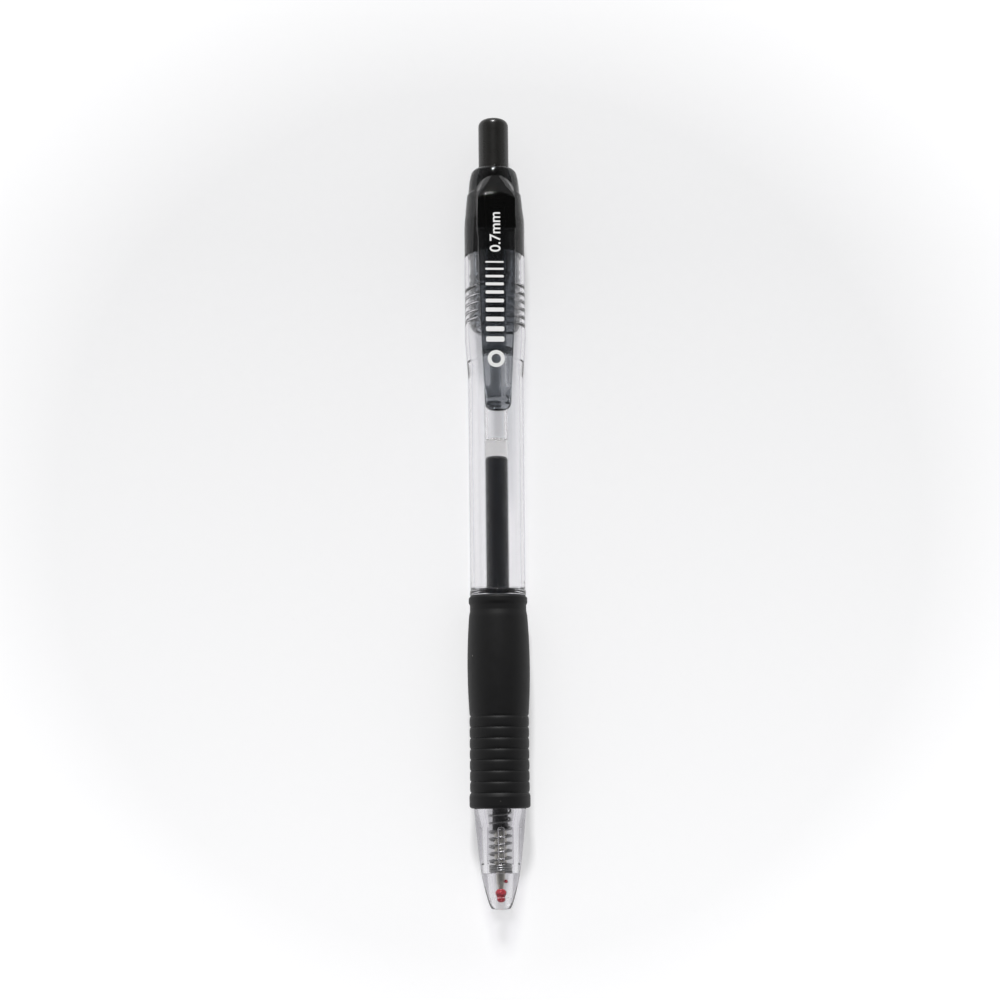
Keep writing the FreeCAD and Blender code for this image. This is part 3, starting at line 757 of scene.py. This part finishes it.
def flat_mark(name, outline, thickness=0.02):
    """A thin raised print on the clip's top face, from an outline of (across, along) points."""
    lower, upper = CLIP_TOP - 0.004, CLIP_TOP + thickness
    rows = [[(a, b, lower) for a, b in outline], [(a, b, upper) for a, b in outline]]
    return skin(name, rows, False, 30)


def pill(across, along, width, length, steps=8):
    """A bar with rounded corners, centred at (across, along)."""
    corner = min(width, length) * 0.3
    points = []
    for side, end, start in CORNERS:
        for step in range(steps):
            angle = math.radians(start + 90 * step / (steps - 1))
            points.append((across + side * (width / 2 - corner) + corner * math.cos(angle),
                           along + end * (length / 2 - corner) + corner * math.sin(angle)))
    return points


def dress_print(obj):
    bend_with_clip(dress(obj, "smoked_plastic", finish="white_print"))


def make_size_mark():
    """A line width in millimetres, as raised print."""
    text = bpy.data.curves.new("size_text", "FONT")
    text.body = "0.7mm"
    text.size = 2.75 * MM
    text.extrude = 0.012 * MM
    text.offset = 0.03 * MM
    text.align_x = "CENTER"
    text.align_y = "CENTER"
    holder = bpy.data.objects.new("size_text", text)
    bpy.context.scene.collection.objects.link(holder)
    bpy.context.view_layer.update()
    evaluated = holder.evaluated_get(bpy.context.evaluated_depsgraph_get())
    mesh = bpy.data.meshes.new_from_object(evaluated)
    bpy.data.objects.remove(holder)
    mark = bpy.data.objects.new("size_mark", mesh)
    bpy.context.scene.collection.objects.link(mark)
    mark.location = place(-0.2, 120.4, CLIP_TOP + 0.008)
    mark.rotation_euler.z = math.pi / 2
    dress_print(mark)


def make_strokes():
    """A row of ten strokes that grow thicker."""
    along = 114.9
    for number in range(10):
        length = 0.30 + 0.075 * number
        outline = pill(-0.45, along - length / 2, 3.3, length)
        dress_print(flat_mark(f"width_stroke_{number + 1}", outline))
        along -= length + 0.95


def make_ring():
    """A plain ring near the clip's end, laid on its sloping face."""
    outer, inner, middle, sink = 1.55, 0.85, 96.9, 0.06
    sections = ((outer, CLIP_TOP - sink), (outer, CLIP_TOP), (inner, CLIP_TOP), (inner, CLIP_TOP - sink))
    rows = np.array([
        [(radius * math.sin(turn) - 0.3, middle + radius * math.cos(turn), level) for turn in TURN[::4]]
        for radius, level in sections])
    rows[..., 2] += clip_top(rows[..., 1]) - CLIP_TOP + 0.02
    dress_print(skin("print_ring", rows, True, 30))


# ---------------------------------------------------------------- button and rotor

BUTTON_END, BUTTON_TOP = span("push_button")[:2]


def make_button():
    """Satin black button, hollow from below, with crown teeth and four ribs on its stem."""
    outside = rings(rounded([
        (BUTTON_END + 1.2, 2.6, 0),
        (131.8, 2.6, 0),
        (134.75, 2.6, 0.05),
        (134.8, 2.79, 0.05),
        (142.6, 2.79, 0),
        *bow((142.9, 2.785), (BUTTON_TOP - 0.12, 1.55), 0.44, 14)[1:],
        (BUTTON_TOP, 1.15, 0.35),
        (BUTTON_TOP, 0.02, 0),
    ], looped=False))
    stem = outside[0] < 131.6
    slots = ribs(TURN, 4, 0.6, 3.0, math.pi / 4)
    outside = outside[0], outside[1] + 0.72 * slots * stem * (outside[0] > 115.6)
    teeth = np.abs((TURN * 8 / FULL_TURN) % 1 - 0.5) * 2
    crown = BUTTON_END + 1.0 * teeth
    inside = rings(rounded([
        (BUTTON_END + 1.2, 1.8, 0),
        (140.8, 1.8, 0.3),
        (140.8, 0.02, 0),
    ], looped=False))
    rim = (np.array([crown, crown]), np.array([np.full(SEGMENTS, 1.8), np.full(SEGMENTS, 2.6)]))
    along, radius = stack((inside[0][::-1], inside[1][::-1]), rim, outside)
    button = turned("button_cap", along, radius, looped=False)
    dress(button, "black_plastic", ["push_button"], "button")


def make_rotor():
    """Cam rotor: pilot pin, flange that pushes the refill, and a stem inside the tube."""
    start, end = span("cam_rotor")[:2]
    dress(turned_outline("cam_rotor_shell", [
        (start, 0.02, 0),
        (start, 0.9, 0.15),
        (99.42, 0.9, 0),
        (99.42, 2.55, 0.1),
        (100.6, 2.55, 0.1),
        (100.6, 1.85, 0.05),
        (108.6, 1.85, 0),
        (112.6, 1.85, 0.1),
        (112.6, 1.7, 0),
        (113.8, 1.7, 0),
        (end, 1.7, 0.25),
        (end, 0.02, 0),
    ], looped=False), "rotor_plastic", ["cam_rotor"], "refill", finish="smoked_rotor")


# ---------------------------------------------------------------- refill

TUBE_FRONT, TUBE_REAR, TUBE_RADIUS = span("refill_tube")
TUBE_BORE = 1.6
INK_TOP = span("ink_column")[1]


def make_tube():
    """The refill's tube, with its ink and the follower on the ink."""
    dress(turned_outline("refill_tube_shell", [
        (TUBE_FRONT, TUBE_BORE, 0.08),
        (TUBE_FRONT, TUBE_RADIUS, 0.12),
        (TUBE_REAR, TUBE_RADIUS, 0.12),
        (TUBE_REAR, TUBE_BORE, 0.08),
    ]), "refill_plastic", ["refill_tube"], "refill")
    dress(turned_outline("ink", [
        (29.6, 0.02, 0),
        (29.6, TUBE_BORE + 0.005, 0),
        (INK_TOP + 0.35, TUBE_BORE + 0.005, 0.45),
        (INK_TOP + 0.38, 0.02, 0),
    ], looped=False), "black_ink", ["ink_column"], "refill")
    dress(turned_outline("follower", [
        (INK_TOP - 0.1, 0.02, 0),
        (INK_TOP - 0.1, TUBE_BORE + 0.004, 0),
        (INK_TOP + 3.7, TUBE_BORE + 0.004, 0.1),
        (INK_TOP + 3.2, 0.02, 0),
    ], looped=False), "follower_grease", ["ink_follower"], "refill")


def make_holder():
    """The plastic ball holder between tube and tip."""
    front, rear = span("ball_holder")[:2]
    dress(turned_outline("holder", [
        (front, 1.13, 0.05),
        (front, 1.4, 0.15),
        (TUBE_FRONT - 0.02, 1.4, 0.05),
        (TUBE_FRONT - 0.02, 1.59, 0),
        (27.2, 1.59, 0.1),
        (rear, 1.5, 0.1),
        (rear, 0.6, 0.05),
        (17.0, 0.6, 0),
        (17.0, 1.13, 0),
    ]), "holder_plastic", ["ball_holder"], "refill")


def make_tip():
    """The metal writing tip, bored for the ink and open where the ball sits."""
    lip, tail = span("writing_tip")[:2]
    dress(turned_outline("tip_point", [
        (lip, 0.36, 0.01),
        (lip, 0.42, 0.03),
        (4.9, 0.78, 0.1),
        (7.45, 0.85, 0.05),
        (8.3, 1.12, 0.1),
        (10.6, 1.12, 0.02),
        (10.7, 1.04, 0.02),
        (10.95, 1.04, 0.02),
        (11.05, 1.12, 0.02),
        (tail, 1.12, 0.05),
        (tail, 0.2, 0),
        (3.95, 0.2, 0),
        (3.82, 0.36, 0),
    ]), "tip_metal", ["writing_tip"], "refill")


def make_ball():
    low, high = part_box("tip_ball")
    centre = (low + high) / 2
    middle, radius = (centre.y - NOSE_Y) / MM, (high.x - low.x) / 2 / MM
    angles = np.linspace(0.02, math.pi - 0.02, 24)
    outline = np.stack([middle - radius * np.cos(angles), radius * np.sin(angles)], -1)
    ball = turned("writing_ball", *rings(outline), looped=False)
    dress(ball, "ball_metal", ["tip_ball"], "ball")


def make_wax():
    """A soft two-lobed drop of wax round the ball."""
    low, high = span("wax_seal")[:2]
    corners = [
        (low, 0.02, 0),
        *bow((low, 0.1), (2.3, 0.72), 0.3, 9),
        (2.42, 0.70, 0.05),
        *bow((2.5, 0.72), (high - 0.25, 0.72), 0.26, 12),
        (high, 0.56, 0.1),
        (3.3, 0.425, 0),
        (3.08, 0.375, 0),
        (3.07, 0.02, 0),
    ]
    along, radius = rings(rounded(corners, looped=False))
    lumps = 1 + 0.035 * np.sin(3 * TURN + 5 * along) + 0.03 * np.sin(5 * TURN - 7 * along)
    outer = radius > 0.5
    drop = turned("wax_drop", along, np.where(outer, radius * lumps, radius), looped=False)
    dress(drop, "red_wax", ["wax_seal"], "refill")


def make_crumb():
    """A crumb of wax higher on the tip."""
    across, along, height, size = 0.86, 5.0, 0.45, 0.30
    rows = []
    for step in np.linspace(0.05, math.pi - 0.05, 14):
        ring = []
        for turn in np.linspace(0, FULL_TURN, 20, endpoint=False):
            swell = size * (1 + 0.18 * math.sin(3 * turn + 2 * step)) * math.sin(step)
            ring.append((across + swell * math.cos(turn), along - size * math.cos(step),
                         height + swell * math.sin(turn)))
        rows.append(ring)
    dress(skin("wax_crumb", rows, False, 60), "red_wax", body="refill")


WIRE_RADIUS, SPRING_RADIUS = 0.2, 1.88


def spring_path(start, end):
    """The along, direction and slope of the wire's centre line. Its first and last turns are closed."""
    steps_per_turn, closed_pitch, closed_turns, open_turns = 28, 0.40, 3.0, 12.0
    turns = np.arange(0, closed_turns * 2 + open_turns, 1 / steps_per_turn)
    open_share = smooth_step((turns - closed_turns + 0.4) / 0.8) * smooth_step(
        (closed_turns + open_turns - turns + 0.4) / 0.8)
    closed_length = closed_pitch * np.sum(1 - open_share) / steps_per_turn
    open_pitch = (end - start - closed_length) / (np.sum(open_share) / steps_per_turn)
    pitch = closed_pitch + (open_pitch - closed_pitch) * open_share
    along = start + np.concatenate([[0], np.cumsum(pitch[:-1])]) / steps_per_turn
    return along, turns * FULL_TURN + 1.2, pitch / (FULL_TURN * SPRING_RADIUS)


def make_spring():
    """Steel wire wound right-handed, with its first and last turns closed."""
    start, end = span("return_spring")[:2]
    rows = []
    for along, angle, slope in zip(*spring_path(start + WIRE_RADIUS, end - WIRE_RADIUS)):
        outward = np.array((math.sin(angle), 0, math.cos(angle)))
        forward = np.array((math.cos(angle), slope, -math.sin(angle)))
        upward = np.cross(outward, forward)
        upward /= np.linalg.norm(upward)
        centre = outward * SPRING_RADIUS + np.array((0, along, 0))
        rows.append([centre + WIRE_RADIUS * (math.cos(a) * outward + math.sin(a) * upward)
                     for a in np.linspace(0, FULL_TURN, 12, endpoint=False)])
    spring = dress(skin("spring_wire", rows, False, 60), "spring_steel", ["return_spring"], "casing")
    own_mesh(spring)


# ---------------------------------------------------------------- studio

CAMERA_EYE = (-0.0174, -0.0484, 0.3230)
CAMERA_AIM = (0.00055, 0.00024, AXIS_Z)
CAMERA_ROLL = -0.60
CAMERA_LENS = 63.83
LAMP_PLACE = (-0.14, 1.5, 1.2)
LAMP_SIZE = (0.25, 0.15)
LAMP_POWER = 32.0


def painted_floor_light(tree):
    """Strength of the floor's painted light: an emission that is stronger towards the nose and the rims,
    with a painted contact shadow that dims it close to the pen.
    """
    spot = add_node(tree, "ShaderNodeTexCoord").outputs["Object"]
    parts = add_node(tree, "ShaderNodeSeparateXYZ", Vector=spot)
    away = add_node(tree, "ShaderNodeVectorMath", operation="LENGTH", Vector=spot)
    # Painted light: the glow is stronger towards the nose and towards the rims.
    along = between(tree, parts.outputs["Y"], 0.56, 0.41, -0.07, 0.05)
    outside = between(tree, away.outputs["Value"], 0.0, 0.22, 0.08, 0.13)
    # Painted contact shadow: ambient occlusion dims the glow close to the pen.
    contact_shadow_ao = add_node(tree, "ShaderNodeAmbientOcclusion", Distance=0.012, samples=8)
    share = between(tree, contact_shadow_ao.outputs["AO"], 0.82, 1.0, 0.0, 0.9)
    return maths(tree, "MULTIPLY", maths(tree, "ADD", along, outside), share)


def make_floor():
    """Pale paper with painted light: it glows unevenly and carries a painted contact shadow near the pen.
    """
    bpy.ops.mesh.primitive_plane_add(size=6, location=(0, 0, 0))
    floor = bpy.context.object
    floor.name = "floor"
    material, tree = new_material("paper")
    shader = add_node(tree, "ShaderNodeBsdfPrincipled", Roughness=0.9)
    shader.inputs["Specular IOR Level"].default_value = 0.1
    shader.inputs["Emission Color"].default_value = (0.99, 0.99, 1.0, 1)
    colour = mixed_colour(tree, grain(tree, 0.002), (0.54, 0.54, 0.543), (0.56, 0.56, 0.563))
    tree.links.new(colour, shader.inputs["Base Color"])
    # The emission is painted light on the floor, with a painted contact shadow under the pen.
    tree.links.new(painted_floor_light(tree), shader.inputs["Emission Strength"])
    output = add_node(tree, "ShaderNodeOutputMaterial")
    tree.links.new(shader.outputs[0], output.inputs["Surface"])
    floor.data.materials.append(material)


def make_room():
    """A bright even room that is dimmer overhead and below the horizon."""
    world = bpy.data.worlds.new("room")
    bpy.context.scene.world = world
    world.use_nodes = True
    tree = world.node_tree
    tree.nodes.clear()
    direction = add_node(tree, "ShaderNodeTexCoord").outputs["Generated"]
    upward = add_node(tree, "ShaderNodeSeparateXYZ", Vector=direction).outputs["Z"]
    overhead = between(tree, upward, 0.50, 0.12, 0.35, 0.80)
    near_horizon = between(tree, upward, 0.6, 1.0, -0.05, 0.3)
    level = maths(tree, "MULTIPLY", overhead, near_horizon)
    background = add_node(tree, "ShaderNodeBackground", Strength=level)
    background.inputs["Color"].default_value = (1.0, 1.0, 1.005, 1)
    output = add_node(tree, "ShaderNodeOutputWorld")
    tree.links.new(background.outputs[0], output.inputs["Surface"])


def make_lamp():
    """A soft lamp, high up and far beyond the button."""
    light = bpy.data.lights.new("lamp", "AREA")
    light.shape = "RECTANGLE"
    light.size, light.size_y = LAMP_SIZE
    light.energy = LAMP_POWER
    lamp = bpy.data.objects.new("lamp", light)
    lamp.location = LAMP_PLACE
    lamp.rotation_mode = "QUATERNION"
    lamp.rotation_quaternion = (Vector((0, 0, 0)) - Vector(LAMP_PLACE)).to_track_quat("-Z", "Y")
    bpy.context.scene.collection.objects.link(lamp)


def make_camera():
    """Camera above the nose end, tilted towards the button and rolled by CAMERA_ROLL degrees."""
    camera = bpy.data.objects.new("camera", bpy.data.cameras.new("camera"))
    bpy.context.scene.collection.objects.link(camera)
    camera.data.lens = CAMERA_LENS
    camera.data.clip_start = 0.01
    eye = Vector(CAMERA_EYE)
    ahead = (Vector(CAMERA_AIM) - eye).normalized()
    right = ahead.cross(Vector((0, 1, 0))).normalized()
    right = right @ Matrix.Rotation(math.radians(CAMERA_ROLL), 3, ahead)
    above = right.cross(ahead)
    turn = Matrix((right, above, -ahead)).transposed()
    camera.matrix_world = Matrix.LocRotScale(eye, turn.to_quaternion(), None)
    bpy.context.scene.camera = camera


def make_studio():
    """Floor, room, lamp and camera. Clear pieces need many light bounces."""
    scene = bpy.context.scene
    scene.view_settings.view_transform = "Standard"
    scene.cycles.max_bounces = 24
    scene.cycles.transmission_bounces = 24
    scene.cycles.transparent_max_bounces = 32
    make_floor()
    make_room()
    make_lamp()
    make_camera()


make_studio()
make_barrel()
make_grip()
make_collar()
make_insert()
make_clip()
make_size_mark()
make_strokes()
make_ring()
make_button()
make_rotor()
make_tube()
make_holder()
make_tip()
make_ball()
make_wax()
make_crumb()
make_spring()
